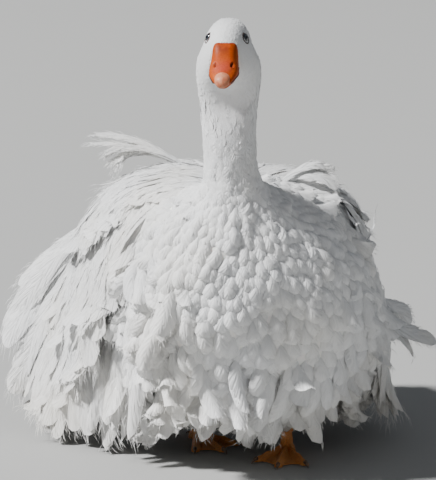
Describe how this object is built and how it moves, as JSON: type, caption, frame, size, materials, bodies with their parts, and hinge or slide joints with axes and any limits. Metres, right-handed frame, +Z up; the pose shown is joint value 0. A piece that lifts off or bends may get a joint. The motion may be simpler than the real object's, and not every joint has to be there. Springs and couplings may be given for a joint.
{
  "type": "domestic goose",
  "caption": "Life-size standing goose with long curled white plumage, an orange bill and webbed feet, as a still model.",
  "frame": {"origin": "centre of the outline on the floor, at the level of the soles", "axes": "+Z up, the goose faces -Y, so its own right side is -X"},
  "size_m": [0.496, 0.5277, 0.5327],
  "materials": {
    "face_feather": "short soft white feathers",
    "body_feather": "curled white contour feathers",
    "plume": "long silky white plumes",
    "bill": "satin orange horn",
    "nail": "smooth pinkish horn",
    "eye": "wet dark blue eye",
    "leg_skin": "scaly orange skin"
  },
  "bodies": {
    "root": {"head": "face_feather", "neck_upper": "body_feather", "neck_lower": "body_feather", "breast": "body_feather", "trunk": "body_feather", "rump": "body_feather", "flank_left": "body_feather", "flank_right": "body_feather", "thigh_left": "body_feather", "thigh_right": "body_feather", "wing_left": "plume", "wing_right": "plume", "mantle": "plume", "tail": "plume", "bill_upper": "bill", "bill_lower": "bill", "bill_nail": "nail", "eye_left": "eye", "eye_right": "eye", "shank_left": "leg_skin", "shank_right": "leg_skin", "foot_left": "leg_skin", "foot_right": "leg_skin"}
  },
  "joints": []
}
